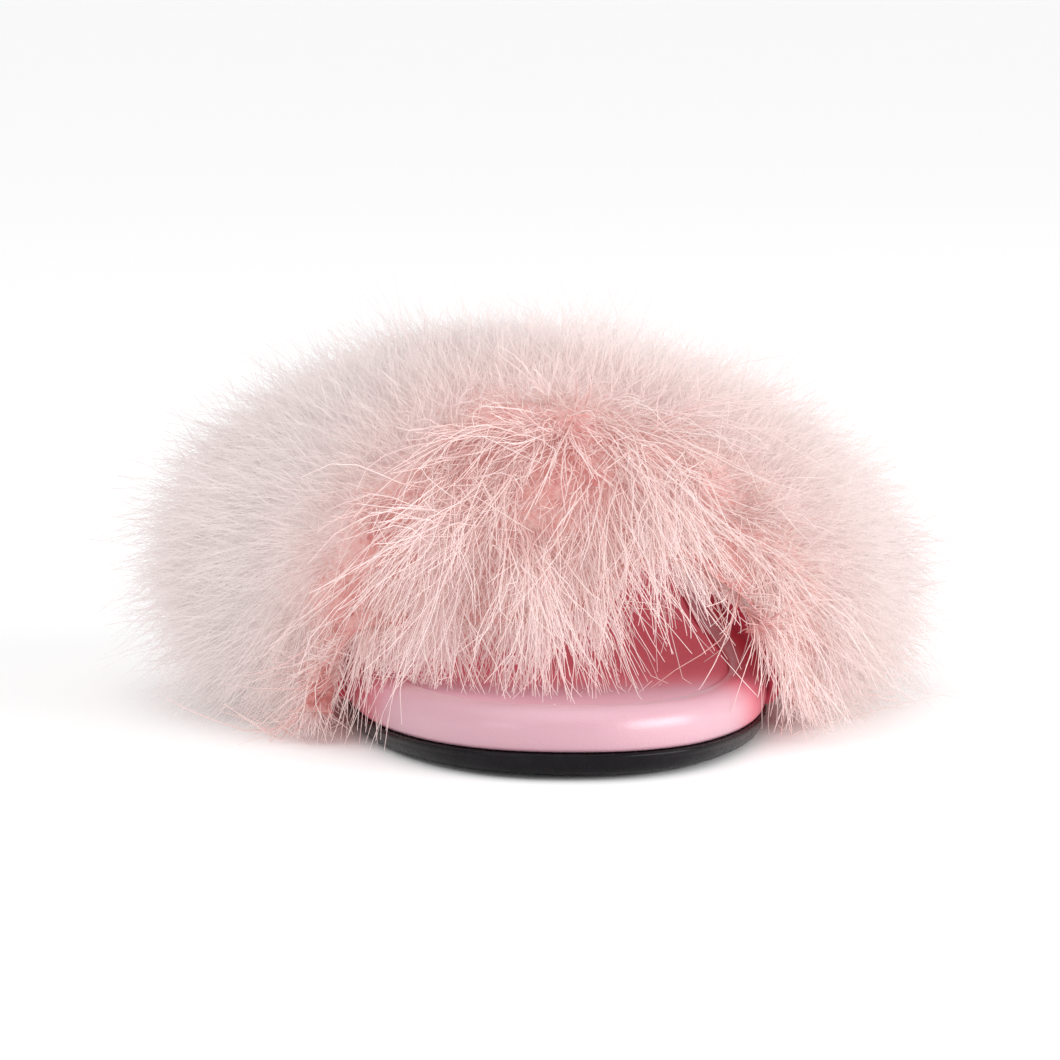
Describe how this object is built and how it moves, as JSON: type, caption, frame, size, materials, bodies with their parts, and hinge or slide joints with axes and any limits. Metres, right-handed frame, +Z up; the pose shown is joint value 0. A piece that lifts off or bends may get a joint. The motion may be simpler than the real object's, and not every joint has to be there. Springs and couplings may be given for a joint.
{
  "type": "marabou slipper",
  "caption": "Flat open-back slipper: leather-wrapped footbed on a black rubber sole, with a leather instep band under a dome of long marabou down. Right foot.",
  "frame": {"origin": "under the middle of the sole, on the plane of its flat tread, half way from toe tip to heel and on the line through the middle of the heel", "axes": "+Z up, +Y from toe to heel along the sole, +X to the inner side of the foot (the big toe's side)"},
  "size_m": [0.2031, 0.262, 0.0983],
  "materials": {
    "black_rubber": "smooth satin",
    "pink_leather": "smooth, soft gloss",
    "insole_leather": "smooth, fine grain",
    "strap_leather": "smooth lining",
    "marabou_down": "long soft down"
  },
  "bodies": {
    "root": {"outsole": "black_rubber", "footbed": "pink_leather", "insole": "insole_leather", "strap": "strap_leather", "marabou": "marabou_down"}
  },
  "joints": []
}
